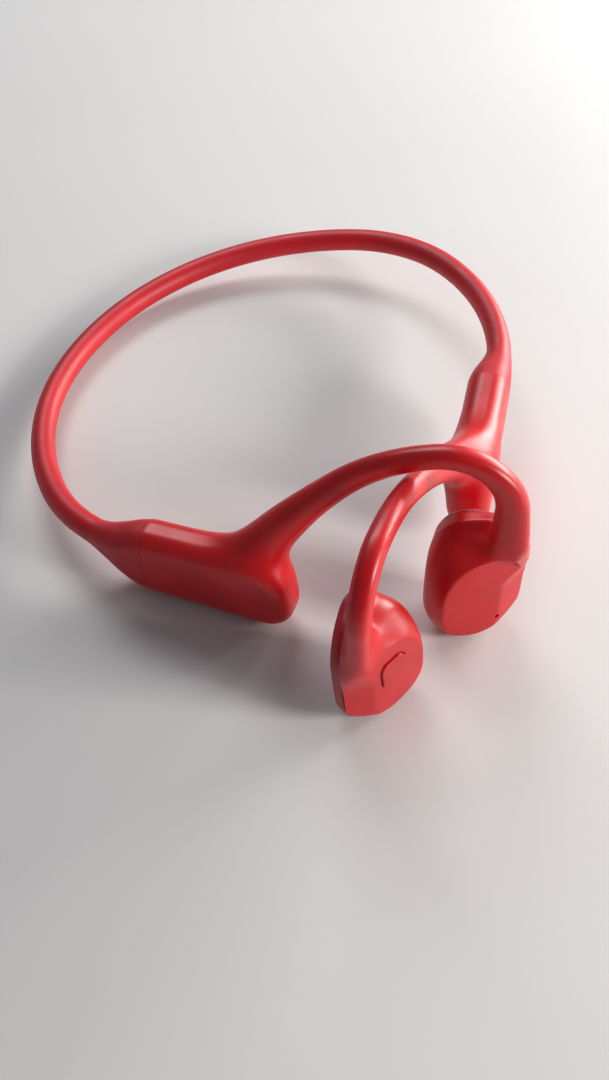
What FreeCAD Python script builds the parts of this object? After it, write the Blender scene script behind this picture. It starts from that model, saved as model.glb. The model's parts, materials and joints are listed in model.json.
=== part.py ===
import FreeCAD, Part

import math
import os

from FreeCAD import Placement, Rotation, Vector

# Bone conduction headphones, lying as they rest on a table with the two ear hooks crossed.
# Frame: +Z up, -Y to the front of the wearer, +X to the wearer's left, z = 0 on the table.
# Each arm is built in its own axes: a runs forward along the pod, b outward from the head and
# c up. The left arm is built as it is. The right arm is its mirror image.

# ---- driving dimensions, mm and degrees ----
# neckband
BAND_RADIUS = 2.9
BAND_PLACE = (0.0, -1.69, 14.1)   # a point of the band's plane
BAND_ROLL = 4.29              # the band's plane rises towards the wearer's left
BAND_TILT = -6.84             # and falls towards the back
BAND_REAR = (-0.5, 71.6)
BAND_REAR_HEADING = 3.5
BAND_ARCS = {                 # (radius, turn) from the rear point to where the pods begin
    "left": [(66.0, 43.0), (39.0, 45.5), (59.0, 49.3)],
    "right": [(66.0, 40.5), (58.0, 44.0), (38.5, 46.3)],
}
BAND_END_RUN = {"left": 5.1, "right": 4.0}
STRAND_ENTRY = 2.5            # how far the wire and the cable run on into each pod
WIRE_RADIUS = 0.45
CABLE_RADIUS = 0.6
CABLE_OFFSET = 1.45           # the cable lies inward of the spring wire

# arms: place of the arm's axes, and their yaw, nose-up pitch and roll
ARM_PLACE = {
    "left": ((42.8, -16.09, 15.9), (-133.0, 0.4, 6.0)),
    "right": ((-50.5, -14.19, 9.0), (-48.0, 4.0, -5.9)),
}

# pod
SEAM_A = 5.0                  # rear face of the pod's shells, where the boot begins
POD_FRONT = 38.2
POD_HALF_HEIGHT = 8.8
POD_HALF_WIDTH = 4.9
POD_ROUNDING = 3.4
POD_TOE_RADIUS = 7.0
POD_TOE_ANGLE = 4.0           # the underside falls away towards the toe
POD_BROW_RADIUS = 4.5
POD_WALL = 1.2
POD_SPLIT_B = -2.4            # the inner shell is a lid on the side of the head
SEAL_HALF_WIDTH = 0.3
BOOT_LENGTH = 24.0

# ear hook, in the arm's a-c view: start, heading, then (radius, turn) and a last straight run
HOOK_START = (25.5, 1.6)
HOOK_HEADING = {"left": 47.6, "right": 59.8}
HOOK_ARCS = {
    "left": [(116.2, 21.4), (39.6, 22.1), (10.2, 97.3)],
    "right": [(105.4, 17.6), (38.3, 30.7), (12.4, 99.0)],
}
HOOK_END_RUN = {"left": 14.1, "right": 15.5}
HOOK_LEAN = 13.2              # how far the hook leans in towards the head by its end
HOOK_LEAN_POWER = 1.7
STRAND_SHARES = (0.08, 0.985)  # where the wire and the cable begin and end in the hook
# (share of the length, half thickness in the a-c view, half thickness along b)
HOOK_GIRTH = [
    (0.0, 6.2, 4.2), (0.10, 5.2, 4.1), (0.17, 4.4, 3.7), (0.28, 3.4, 2.9), (0.38, 2.9, 2.5),
    (0.55, 2.4, 2.3), (0.69, 2.4, 2.3), (0.81, 3.3, 2.3), (0.93, 4.0, 2.5), (1.0, 4.1, 2.6),
]

# transducer, about its own centre in the directions of the arm's axes
CAN_PLACE = {"left": (79.0, -11.0, -0.5), "right": (73.3, -12.5, 2.0)}
CAN_HALF_WIDTH = 10.0
CAN_HALF_HEIGHT = 14.3
CAN_CORNER = 9.0
CAN_OUTER_B = 8.2
CAN_PARTING_B = -5.2
CAN_ROUNDING = 6.5
CAN_WALL = 1.2
FACET_DISTANCE = 3.8          # from the centre to the flat facet
FACET_ANGLE = 53.0            # the facet looks forward and this much outward
SHOULDER_TOP_C = 8.7          # above the facet the shell slopes back to its top
SHOULDER_ANGLE = 53.3         # the slope looks this much further up than the facet
SHOULDER_RADIUS = 14.0        # and it is arched from side to side
COLLAR_DEPTH = 2.2            # the shoulder stops short of the mouth, which keeps its full oval
PAD_GAP = 0.45
PAD_INNER_B = -8.2
PAD_WALL = 1.2
DRIVER_A = -2.6
PEDESTAL_RADIUS = 1.4
YOKE_RADIUS = 5.2
YOKE_WALL = 0.7
YOKE_FLOOR = 0.8
YOKE_RIM_B = -3.9
YOKE_BACK_B = -0.3
MAGNET_RADIUS = 3.1
POLE_B = -3.5
POLE_THICKNESS = 0.5
COIL_RADII = (3.5, 4.2)
COIL_TOP_B = -3.0
LEAF_B = -4.5
LEAF_THICKNESS = 0.2

# places on the facet, measured across it from the centre towards the rear and up
BUTTON_PLACE = (0.2, 0.2)
BUTTON_SIZE = (6.2, 9.4)
BUTTON_PROUD = 0.35
BUTTON_CLEARANCE = 0.3
BUTTON_TRAVEL = 0.35
MIC_PLACE = (-4.8, -9.8)
MIC_HOLE_RADIUS = 0.45

# buttons and port of the right pod
VOLUME_BUTTON_A = {"volume_down_button": 13.0, "volume_up_button": 20.5}
VOLUME_BUTTON_SIZE = (5.4, 3.0)
VOLUME_BUTTON_PROUD = 0.3
VOLUME_TRAVEL = 0.3
PORT_PLACE = (14.0, 0.5)
LIGHT_PLACE = (22.0, 3.5)
SCREW_PLACES = [(8.3, 6.2), (8.3, -5.4), (34.0, -4.0)]

SIDES = ("left", "right")
B_AXIS = Vector(0, 1, 0)
C_AXIS = Vector(0, 0, 1)


# ---- paths made of tangent arcs in a plane ----
def walk(path, distance):
    """Point and heading at a distance along a path (start, heading, [(length, turn), ...])."""
    (x, y), heading, moves = path
    heading = math.radians(heading)
    for length, turn in moves:
        step = min(distance, length)
        if turn == 0:
            x += step * math.cos(heading)
            y += step * math.sin(heading)
        else:
            radius = length / math.radians(turn)
            new_heading = heading + step / radius
            x += radius * (math.sin(new_heading) - math.sin(heading))
            y -= radius * (math.cos(new_heading) - math.cos(heading))
            heading = new_heading
        distance -= step
        if distance <= 0:
            break
    return Vector(x, y, 0), heading


def path_length(path):
    return sum(length for length, turn in path[2])


def arcs(pairs, sign):
    """Moves for arcs given as (radius, turn), turning left for sign 1 and right for -1."""
    return [(radius * math.radians(turn), sign * turn) for radius, turn in pairs]


def path_edges(path, first, last, offset=0.0):
    """Edges of a path between two distances, shifted sideways to the left by offset."""
    stops = [first]
    reached = 0.0
    for length, turn in path[2]:
        reached += length
        if first < reached < last:
            stops.append(reached)
    stops.append(last)

    def shifted(distance):
        point, heading = walk(path, distance)
        return point + Vector(-math.sin(heading), math.cos(heading), 0) * offset

    edges = []
    for low, high in zip(stops, stops[1:]):
        start, middle, end = shifted(low), shifted((low + high) / 2), shifted(high)
        bulge = middle.distanceToLine(start, end - start)
        if bulge < 1e-4:
            edges.append(Part.LineSegment(start, end).toShape())
        else:
            edges.append(Part.Arc(start, middle, end).toShape())
    return edges


# ---- small solids ----
def cylinder(radius, start, direction, length):
    return Part.makeCylinder(radius, length, Vector(*start), Vector(*direction))


def box(low, high):
    low, high = Vector(*low), Vector(*high)
    size = high - low
    return Part.makeBox(size.x, size.y, size.z, low)


def ellipse_wire(centre, along, across, half_along, half_across):
    """An ellipse with given half sizes along two perpendicular directions."""
    if half_along < half_across:
        along, across = across, along
        half_along, half_across = half_across, half_along
    turn = Rotation(along, across, along.cross(across), "XYZ")
    ellipse = Part.Ellipse(Vector(), half_along, half_across)
    wire = Part.Wire(ellipse.toShape())
    wire.Placement = Placement(centre, turn)
    return wire


def rounded_wire(centre, side, up, half_side, half_up, corner):
    """A rounded rectangle: four straight edges and four corner arcs."""
    corner = min(corner, half_side * 0.98, half_up * 0.98)
    diagonal = corner * (1 - math.sqrt(0.5))

    def at(s, u):
        return centre + side * s + up * u

    edges = []
    corners = [(1, 1), (-1, 1), (-1, -1), (1, -1)]
    for index, (s, u) in enumerate(corners):
        near_side = at(s * half_side, u * (half_up - corner))
        near_up = at(s * (half_side - corner), u * half_up)
        middle = at(s * (half_side - diagonal), u * (half_up - diagonal))
        first, second = (near_side, near_up) if s * u > 0 else (near_up, near_side)
        edges.append(Part.Arc(first, middle, second).toShape())
        s2, u2 = corners[(index + 1) % 4]
        if u == u2:
            end = at(s2 * (half_side - corner), u2 * half_up)
        else:
            end = at(s2 * half_side, u2 * (half_up - corner))
        edges.append(Part.LineSegment(second, end).toShape())
    return Part.Wire(edges)


def loft(wires):
    return Part.makeLoft(wires, True, False)


def half_space(side, at_b):
    """A large box on one side of a plane b = at_b."""
    reach = 200.0
    if side > 0:
        return box((-reach, at_b, -reach), (reach, reach, reach))
    return box((-reach, -reach, -reach), (reach, at_b, reach))


# ---- placing ----
def arm_placement(side):
    place, (yaw, pitch, roll) = ARM_PLACE[side]
    return Placement(Vector(*place), Rotation(yaw, -pitch, roll))


def band_placement():
    return Placement(Vector(*BAND_PLACE), Rotation(0, -BAND_ROLL, BAND_TILT))


def export(name, shape):
    solids = [solid for solid in shape.Solids if solid.Volume > 1e-4]
    shape = solids[0] if len(solids) == 1 else Part.makeCompound(solids)
    if not shape.isValid():
        raise RuntimeError("not valid: " + name)
    shape.exportStep("parts/" + name + ".step")
    print("%-28s %9.2f mm3  %d solid(s)" % (name, shape.Volume, len(solids)))


def into_arm(side, shape):
    """A shape that lies in its place, turned back into an arm's own axes."""
    shape = shape.copy()
    shape.Placement = arm_placement(side).inverse().multiply(shape.Placement)
    if side == "right":
        shape = shape.mirror(Vector(), B_AXIS)
    return shape


def export_arm(side, name, shape):
    """Puts a piece built in an arm's own axes where it belongs, mirrored on the right."""
    if side == "right":
        shape = shape.mirror(Vector(), B_AXIS)
    shape = shape.copy()
    shape.Placement = arm_placement(side).multiply(shape.Placement)
    export(name, shape)


# ---- neckband ----
def band_path(side):
    sign = {"left": -1, "right": 1}[side]
    heading = {"left": BAND_REAR_HEADING, "right": BAND_REAR_HEADING + 180.0}[side]
    end_run = BAND_END_RUN[side] + STRAND_ENTRY
    return BAND_REAR, heading, arcs(BAND_ARCS[side], sign) + [(end_run, 0.0)]


def seam_distance(side):
    return path_length(band_path(side)) - STRAND_ENTRY


def boot_start(side):
    return seam_distance(side) - (BOOT_LENGTH - SEAM_A)


def band_tube(side, last, radius, inward):
    """A round tube along one side of the band, shifted towards the inside of the loop."""
    path = band_path(side)
    offset = inward * {"left": -1, "right": 1}[side]
    spine = Part.Wire(path_edges(path, 0.0, last, offset))
    point, heading = walk(path, 0.0)
    point += Vector(-math.sin(heading), math.cos(heading), 0) * offset
    tangent = Vector(math.cos(heading), math.sin(heading), 0)
    profile = Part.Wire(Part.makeCircle(radius, point, tangent))
    tube = spine.makePipeShell([profile], True, True)
    tube.Placement = band_placement().multiply(tube.Placement)
    return tube


def band_point(side, distance):
    point, heading = walk(band_path(side), distance)
    return band_placement().multVec(point)


def band_strand(radius, inward, distance_of):
    """Both sides of a strand of the band, joined at the rear point."""
    left, right = [band_tube(side, distance_of(side), radius, inward) for side in SIDES]
    return left.fuse(right).removeSplitter()


def strand_end(side):
    return path_length(band_path(side))


def band_strands():
    wire = band_strand(WIRE_RADIUS, 0.0, strand_end)
    cable = band_strand(CABLE_RADIUS, CABLE_OFFSET, strand_end)
    return wire, cable


def neckband(wire, cable):
    sleeve = band_strand(BAND_RADIUS, 0.0, boot_start)
    export("neckband_sleeve", sleeve.cut(wire).cut(cable))
    export("neckband_wire", wire)
    export("neckband_cable", cable)


def boot(side, wire, cable):
    """The soft boot that widens from the round band to the pod's rear face."""
    arm = arm_placement(side)
    path = band_path(side)
    total = seam_distance(side)
    first = boot_start(side)
    seam_centre = arm.multVec(Vector(SEAM_A, 0, 0))
    out_sign = {"left": 1, "right": -1}[side]
    arm_side = arm.Rotation.multVec(Vector(0, out_sign, 0))
    arm_up = arm.Rotation.multVec(C_AXIS)
    band_end = band_point(side, total)
    shift = seam_centre - band_end
    wires = []
    for share, half_side, half_up in [
        (0.0, BAND_RADIUS, BAND_RADIUS), (0.18, 3.0, 3.1), (0.4, 3.5, 4.4),
        (0.62, 4.2, 6.3), (0.82, 4.65, 8.0), (1.0, POD_HALF_WIDTH, POD_HALF_HEIGHT),
    ]:
        point, heading = walk(path, first + share * (total - first))
        band_side = Vector(-math.sin(heading), math.cos(heading), 0) * {"left": 1, "right": -1}[side]
        band_side = band_placement().Rotation.multVec(band_side)
        band_up = band_placement().Rotation.multVec(C_AXIS)
        blend = share * share * (3 - 2 * share)
        centre = band_placement().multVec(point) + shift * blend
        across = band_side * (1 - blend) + arm_side * blend
        across.normalize()
        up = band_up * (1 - blend) + arm_up * blend
        up = up - across * across.dot(up)
        up.normalize()
        corner = BAND_RADIUS + (POD_ROUNDING - BAND_RADIUS) * blend
        wires.append(rounded_wire(centre, across, up, half_side, half_up, corner))
    export(side + "_boot", loft(wires).cut(wire).cut(cable))


# ---- pod ----
def pod_bottom(a, inset=0.0):
    """Height of the pod's underside at a, which falls away towards the toe."""
    slope = math.radians(POD_TOE_ANGLE)
    return -POD_HALF_HEIGHT - math.tan(slope) * (a - SEAM_A) + inset / math.cos(slope)


def pod_solid(inset):
    """The pod's outer form, or its hollow when inset is the wall."""
    rear = SEAM_A + inset
    front = POD_FRONT - inset
    high = POD_HALF_HEIGHT - inset
    toe, brow = POD_TOE_RADIUS - inset, POD_BROW_RADIUS - inset
    slant = math.sqrt(0.5)
    slope = math.radians(POD_TOE_ANGLE)
    toe_a = front - toe
    toe_c = pod_bottom(toe_a, inset) + toe / math.cos(slope)

    def at(a, c):
        return Vector(a, -POD_HALF_WIDTH + inset, c)

    def on_toe(angle):
        return at(toe_a + toe * math.cos(angle), toe_c + toe * math.sin(angle))

    toe_start = -math.pi / 2 - slope
    edges = [
        Part.LineSegment(at(rear, high), at(rear, pod_bottom(rear, inset))).toShape(),
        Part.LineSegment(at(rear, pod_bottom(rear, inset)), on_toe(toe_start)).toShape(),
        Part.Arc(on_toe(toe_start), on_toe(toe_start / 2), on_toe(0.0)).toShape(),
        Part.LineSegment(on_toe(0.0), at(front, high - brow)).toShape(),
        Part.Arc(at(front, high - brow),
                 at(front - brow + brow * slant, high - brow + brow * slant),
                 at(front - brow, high)).toShape(),
        Part.LineSegment(at(front - brow, high), at(rear, high)).toShape(),
    ]
    width = 2 * (POD_HALF_WIDTH - inset)
    block = Part.Face(Part.Wire(edges)).extrude(Vector(0, width, 0))
    rounded = []
    for edge in block.Edges:
        middle = edge.BoundBox.Center
        on_flank = edge.BoundBox.YLength < 1e-6
        if on_flank and middle.x > rear + 0.1:
            rounded.append(edge)
    return block.makeFillet(POD_ROUNDING - inset, rounded)


def hook_strands(side):
    """The spring wire and the cable inside the hook."""
    return hook_tube(side, WIRE_RADIUS, 0.0), hook_tube(side, CABLE_RADIUS, CABLE_OFFSET)


def pod_screw(a, c, drive_depth):
    """A small screw driven from the head side, its head flush with the inner shell."""
    head = cylinder(1.0, (a, -POD_HALF_WIDTH, c), (0, 1, 0), 0.8)
    shank = cylinder(0.55, (a, -POD_HALF_WIDTH, c), (0, 1, 0), 7.2)
    screw = head.fuse(shank)
    if drive_depth > 0:
        screw = screw.cut(cylinder(0.4, (a, -POD_HALF_WIDTH, c), (0, 1, 0), drive_depth))
    return screw


def pod_shells(side, strands, openings):
    outside = pod_solid(0.0)
    hollow = pod_solid(POD_WALL)
    seal_outside, seal_inside = pod_solid(0.4), pod_solid(0.85)
    seal_band = box((-9, POD_SPLIT_B - SEAL_HALF_WIDTH, -20), (60, POD_SPLIT_B + SEAL_HALF_WIDTH, 20))
    seal = seal_outside.cut(seal_inside).common(seal_band)
    bosses = None
    for a, c in SCREW_PLACES:
        boss = cylinder(1.5, (a, -POD_HALF_WIDTH + POD_WALL / 2, c), (0, 1, 0),
                        2 * POD_HALF_WIDTH - POD_WALL)
        bosses = boss if bosses is None else bosses.fuse(boss)
    screws = Part.makeCompound([pod_screw(a, c, 0.45) for a, c in SCREW_PLACES])
    holes = Part.makeCompound([pod_screw(a, c, 0.0) for a, c in SCREW_PLACES])
    whole = outside.cut(hollow).fuse(bosses).cut(holes).cut(seal)
    inlets = [into_arm(side, strand) for strand in strands] + list(hook_strands(side))
    for cut in inlets + openings:
        whole = whole.cut(cut)
        seal = seal.cut(cut)
    outer = whole.common(half_space(1, POD_SPLIT_B))
    inner = whole.common(half_space(-1, POD_SPLIT_B))
    export_arm(side, side + "_pod_outer_shell", outer)
    export_arm(side, side + "_pod_inner_shell", inner)
    export_arm(side, side + "_pod_gasket", seal)
    export_arm(side, side + "_pod_screws", screws)


# ---- ear hook ----
def hook_path(side):
    moves = arcs(HOOK_ARCS[side], -1) + [(HOOK_END_RUN[side], 0.0)]
    return HOOK_START, HOOK_HEADING[side], moves


def hook_frame(side, share):
    """Centre, in-plane normal and sideways direction of the hook at a share of its length."""
    path = hook_path(side)
    point, heading = walk(path, share * path_length(path))
    left_over = 1.0 - share
    centre = Vector(point.x, -HOOK_LEAN * (1.0 - left_over ** HOOK_LEAN_POWER), point.y)
    normal = Vector(-math.sin(heading), 0, math.cos(heading))
    lean = HOOK_LEAN * HOOK_LEAN_POWER * left_over ** (HOOK_LEAN_POWER - 1) / path_length(path)
    tangent = Vector(math.cos(heading), -lean, math.sin(heading))
    tangent.normalize()
    sideways = tangent.cross(normal)
    sideways.normalize()
    return centre, normal, sideways


def hook_girth(share):
    for low, high in zip(HOOK_GIRTH, HOOK_GIRTH[1:]):
        if share <= high[0] + 1e-9:
            part = (share - low[0]) / (high[0] - low[0])
            part = part * part * (3 - 2 * part) * 0.3 + part * 0.7
            return [low[k] + (high[k] - low[k]) * part for k in (1, 2)]
    return list(HOOK_GIRTH[-1][1:])


def hook_solid(side):
    count = 15
    wires = []
    for index in range(count):
        share = index / (count - 1)
        centre, normal, sideways = hook_frame(side, share)
        half_normal, half_side = hook_girth(share)
        wires.append(ellipse_wire(centre, normal, sideways, half_normal, half_side))
    return loft(wires)


def hook_tube(side, radius, shift):
    """A round strand inside the hook, shifted towards the outside of the hook's arch."""
    start_share, end_share = STRAND_SHARES
    count = 24
    wires = []
    for index in range(count + 1):
        share = start_share + (end_share - start_share) * index / count
        centre, normal, sideways = hook_frame(side, share)
        tangent = normal.cross(sideways)
        wires.append(Part.Wire(Part.makeCircle(radius, centre + normal * shift, tangent)))
    return loft(wires)


def hook(side):
    wire, cable = hook_strands(side)
    sleeve = hook_solid(side).cut(pod_solid(0.0)).cut(placed_can(side, can_form(0.0)))
    sleeve = largest(sleeve).cut(wire).cut(cable)
    export_arm(side, side + "_hook_sleeve", sleeve)
    export_arm(side, side + "_hook_wire", wire)
    export_arm(side, side + "_hook_cable", cable)


def largest(shape):
    return max(shape.Solids, key=lambda solid: solid.Volume)


# ---- transducer, built about its own centre ----
def placed_can(side, shape):
    """Moves a piece of the transducer from its own centre to its place in the arm's axes."""
    shape = shape.copy()
    shape.translate(Vector(*CAN_PLACE[side]))
    return shape


def export_can(side, name, shape):
    export_arm(side, name, placed_can(side, shape))


def facet_frame():
    """Outward normal and in-plane sideways direction of the flat facet."""
    angle = math.radians(FACET_ANGLE)
    normal = Vector(math.cos(angle), math.sin(angle), 0)
    return normal, Vector(-normal.y, normal.x, 0)


def facet_point(place, depth):
    """A point under the facet, by its place across and up the facet and its depth."""
    normal, sideways = facet_frame()
    across, up = place
    return normal * (FACET_DISTANCE - depth) + sideways * across + C_AXIS * up


def facet_block(inset):
    """Everything in front of the facet, pushed inwards by inset."""
    normal, sideways = facet_frame()
    block = Part.makeBox(60, 60, 30, Vector(-30, -30, 0))
    turn = Rotation(sideways, C_AXIS, normal, "XYZ")
    block.Placement = Placement(normal * (FACET_DISTANCE - inset), turn)
    return block


def shoulder_block(inset):
    """Everything above the sloping shoulder, whose surface is part of a large cylinder."""
    normal, sideways = facet_frame()
    angle = math.radians(SHOULDER_ANGLE)
    up_slope = normal * math.cos(angle) + C_AXIS * math.sin(angle)
    crest = normal * FACET_DISTANCE + C_AXIS * SHOULDER_TOP_C
    block = Part.makeBox(60, 60, 30, Vector(-30, -30, SHOULDER_RADIUS * 0.5))
    block = block.cut(cylinder(SHOULDER_RADIUS - inset, (0, -40, 0), (0, 1, 0), 80))
    turn = Rotation(sideways, up_slope.cross(sideways), up_slope, "XYZ")
    block.Placement = Placement(crest - up_slope * SHOULDER_RADIUS, turn)
    return block.common(half_space(1, CAN_PARTING_B + COLLAR_DEPTH - inset))


def oval(inset, low_b, high_b):
    """An oval block between two values of b."""
    wire = rounded_wire(Vector(0, low_b, 0), Vector(1, 0, 0), C_AXIS, CAN_HALF_WIDTH - inset,
                        CAN_HALF_HEIGHT - inset, CAN_CORNER - inset)
    return Part.Face(wire).extrude(Vector(0, high_b - low_b, 0))


def round_end(block, at_b, radius):
    rounded = [edge for edge in block.Edges
               if edge.BoundBox.YLength < 1e-6 and abs(edge.BoundBox.YMin - at_b) < 1e-6]
    return block.makeFillet(radius, rounded)


def can_form(inset):
    outer_b = CAN_OUTER_B - inset
    block = oval(inset, CAN_PARTING_B, outer_b)
    block = round_end(block, outer_b, CAN_ROUNDING - inset)
    return block.cut(facet_block(inset)).cut(shoulder_block(inset))


def facet_prism(place, half_across, half_up, corner, top_depth, bottom_depth):
    """A rounded prism standing on the facet between two depths below it."""
    normal, sideways = facet_frame()
    centre = facet_point(place, bottom_depth)
    wire = rounded_wire(centre, sideways, C_AXIS, half_across, half_up, corner)
    return Part.Face(wire).extrude(normal * (bottom_depth - top_depth))


def driver_cylinder(radius, low_b, high_b):
    return cylinder(radius, (DRIVER_A, low_b, 0), (0, 1, 0), high_b - low_b)


def transducer_shell(side):
    form = can_form(0.0)
    hollow = can_form(CAN_WALL)
    mouth = oval(CAN_WALL, CAN_PARTING_B - 1.0, CAN_PARTING_B + 0.5)
    pedestal = driver_cylinder(PEDESTAL_RADIUS, YOKE_BACK_B, CAN_OUTER_B).common(form)
    shell = form.cut(hollow).cut(mouth).fuse(pedestal)
    if side == "left":
        opening = facet_prism(BUTTON_PLACE, BUTTON_SIZE[0] / 2 + BUTTON_CLEARANCE,
                              BUTTON_SIZE[1] / 2 + BUTTON_CLEARANCE, 2.7, -1.0, CAN_WALL + 0.5)
        shell = shell.cut(opening)
    else:
        normal, sideways = facet_frame()
        shell = shell.cut(cylinder(MIC_HOLE_RADIUS, facet_point(MIC_PLACE, -1.0), -normal, 4.0))
    shell = placed_can(side, shell)
    for strand in hook_strands(side):
        shell = shell.cut(strand)
    export_arm(side, side + "_transducer_shell", largest(shell))


def leaf_spring():
    """A flat spring frame in the shell's mouth with a ring round the coil on three bars."""
    frame = oval(CAN_WALL, 0, LEAF_THICKNESS).cut(oval(CAN_WALL + 1.0, -1, 1))
    frame.translate(Vector(0, LEAF_B, 0))
    high_b = LEAF_B + LEAF_THICKNESS
    hub_hole = driver_cylinder(COIL_RADII[1] + 0.05, LEAF_B - 1, high_b + 1)
    hub = driver_cylinder(COIL_RADII[1] + 0.9, LEAF_B, high_b)
    reach = CAN_HALF_HEIGHT - CAN_WALL - 0.5
    upright = box((DRIVER_A - 0.6, LEAF_B, -reach), (DRIVER_A + 0.6, high_b, reach))
    cross_bar = box((DRIVER_A, LEAF_B, -0.6), (CAN_HALF_WIDTH - CAN_WALL - 0.5, high_b, 0.6))
    return frame.fuse(hub).fuse(upright).fuse(cross_bar).cut(hub_hole).removeSplitter()


def driver(side):
    """The fixed magnet circuit and the moving coil and contact pad."""
    bore = driver_cylinder(YOKE_RADIUS - YOKE_WALL, YOKE_RIM_B, YOKE_BACK_B - YOKE_FLOOR)
    yoke = driver_cylinder(YOKE_RADIUS, YOKE_RIM_B, YOKE_BACK_B).cut(bore)
    pole_top = POLE_B + POLE_THICKNESS
    magnet = driver_cylinder(MAGNET_RADIUS, pole_top, YOKE_BACK_B - YOKE_FLOOR)
    pole = driver_cylinder(MAGNET_RADIUS, POLE_B, pole_top)
    coil_foot = PAD_INNER_B + PAD_WALL
    coil = driver_cylinder(COIL_RADII[1], coil_foot, COIL_TOP_B)
    coil = coil.cut(driver_cylinder(COIL_RADII[0], coil_foot, COIL_TOP_B))
    top_b = CAN_PARTING_B - PAD_GAP
    pad = round_end(oval(0.2, PAD_INNER_B, top_b), PAD_INNER_B, 2.3)
    hollow = oval(0.2 + PAD_WALL, coil_foot, top_b + 1.0)
    export_can(side, side + "_yoke_cup", yoke)
    export_can(side, side + "_magnet", magnet)
    export_can(side, side + "_pole_plate", pole)
    export_can(side, side + "_voice_coil", coil)
    export_can(side, side + "_leaf_spring", leaf_spring())
    export_can(side, side + "_contact_pad", pad.cut(hollow))


def multifunction_button():
    half_across, half_up = BUTTON_SIZE[0] / 2, BUTTON_SIZE[1] / 2
    cap = facet_prism(BUTTON_PLACE, half_across, half_up, 2.5, -BUTTON_PROUD, 0.9)
    stem = facet_prism(BUTTON_PLACE, 1.0, 1.0, 0.6, 0.9, 1.0)
    dome_top = 1.0 + BUTTON_TRAVEL + 0.05
    dome = facet_prism(BUTTON_PLACE, 1.6, 1.6, 0.7, dome_top, 1.8)
    board = facet_prism(BUTTON_PLACE, 2.4, 3.6, 0.6, 1.8, 2.2)
    export_can("left", "multifunction_button", cap.fuse(stem))
    export_can("left", "button_dome", dome)
    export_can("left", "button_board", board)


def microphone():
    mesh = facet_prism(MIC_PLACE, 0.9, 0.9, 0.8, CAN_WALL, CAN_WALL + 0.15)
    capsule = facet_prism(MIC_PLACE, 1.0, 1.0, 0.2, CAN_WALL + 0.15, CAN_WALL + 1.05)
    export_can("right", "microphone_mesh", mesh)
    export_can("right", "microphone", capsule)


# ---- inside the right pod ----
def volume_button(name):
    """A small oval button in the pod's underside, its opening and its switch."""
    a = VOLUME_BUTTON_A[name]
    bottom = pod_bottom(a)
    half_length, half_width = VOLUME_BUTTON_SIZE[0] / 2, VOLUME_BUTTON_SIZE[1] / 2
    centre = Vector(a, 0, bottom - VOLUME_BUTTON_PROUD)
    wire = rounded_wire(centre, Vector(1, 0, 0), B_AXIS, half_length, half_width, half_width)
    cap = Part.Face(wire).extrude(Vector(0, 0, 1.2))
    stem = box((a - 0.8, -0.6, bottom + 0.9), (a + 0.8, 0.6, bottom + 1.6))
    opening_wire = rounded_wire(centre - C_AXIS, Vector(1, 0, 0), B_AXIS, half_length + 0.3,
                                half_width + 0.3, half_width)
    opening = Part.Face(opening_wire).extrude(Vector(0, 0, 3.2))
    switch_low = bottom + 1.6 + VOLUME_TRAVEL + 0.05
    switch = box((a - 1.4, -1.2, switch_low), (a + 1.4, 1.2, switch_low + 0.8))
    return cap.fuse(stem), opening, switch


def right_pod(strands):
    buttons = {name: volume_button(name) for name in VOLUME_BUTTON_A}
    openings = [opening for cap, opening, switch in buttons.values()]
    port_a, port_c = PORT_PLACE
    port_wire = rounded_wire(Vector(port_a, -POD_HALF_WIDTH, port_c), Vector(1, 0, 0), C_AXIS, 4.6, 2.4, 2.3)
    port = Part.Face(port_wire).extrude(Vector(0, 1.7, 0))
    contacts = [cylinder(0.6, (port_a + d, -POD_HALF_WIDTH, port_c), (0, 1, 0), 3.3) for d in (-1.1, 1.1)]
    magnets = [cylinder(0.9, (port_a + d, -POD_HALF_WIDTH + 0.6, port_c), (0, 1, 0), 1.1)
               for d in (-3.1, 3.1)]
    light_a, light_c = LIGHT_PLACE
    light = cylinder(0.6, (light_a, -POD_HALF_WIDTH, light_c), (0, 1, 0), 3.6)
    pod_shells("right", strands, [port, light] + openings)
    for piece in contacts + magnets:
        port = port.cut(piece)
    export_arm("right", "charging_port", port)
    export_arm("right", "charging_contacts", Part.makeCompound(contacts))
    export_arm("right", "charging_magnets", Part.makeCompound(magnets))
    export_arm("right", "status_light_pipe", light)
    for name, (cap, opening, switch) in buttons.items():
        export_arm("right", name, cap)
    switches = [switch for cap, opening, switch in buttons.values()]
    export_arm("right", "volume_switches", Part.makeCompound(switches))
    board_b = -POD_HALF_WIDTH + 3.6
    board = box((10.5, board_b, -5.6), (31.5, board_b + 0.8, 6.4))
    board_top = board_b + 0.8
    processor = box((15.0, board_top, -2.0), (20.0, board_top + 0.9, 3.0))
    power_chip = box((23.0, board_top, -3.5), (26.0, board_top + 0.8, -0.5))
    export_arm("right", "main_circuit_board", board)
    export_arm("right", "processor_chip", processor)
    export_arm("right", "power_chip", power_chip)


def left_pod(strands):
    pod_shells("left", strands, [])
    cell = box((10.5, -2.6, -6.4), (31.0, 3.0, 6.2))
    cell = cell.makeFillet(1.2, [edge for edge in cell.Edges if edge.BoundBox.XLength > 10])
    foam = box((12.0, 3.0, -5.0), (29.5, 3.55, 5.0))
    board = box((31.4, -2.4, 0.0), (32.2, 2.4, 6.4))
    export_arm("left", "battery_cell", cell)
    export_arm("left", "battery_foam", foam)
    export_arm("left", "battery_board", board)


os.makedirs("parts", exist_ok=True)
band_wire, band_cable = band_strands()
neckband(band_wire, band_cable)
for arm_side in SIDES:
    boot(arm_side, band_wire, band_cable)
    hook(arm_side)
    transducer_shell(arm_side)
    driver(arm_side)
multifunction_button()
microphone()
right_pod([band_wire, band_cable])
left_pod([band_wire, band_cable])
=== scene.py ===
import json
import math

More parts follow.
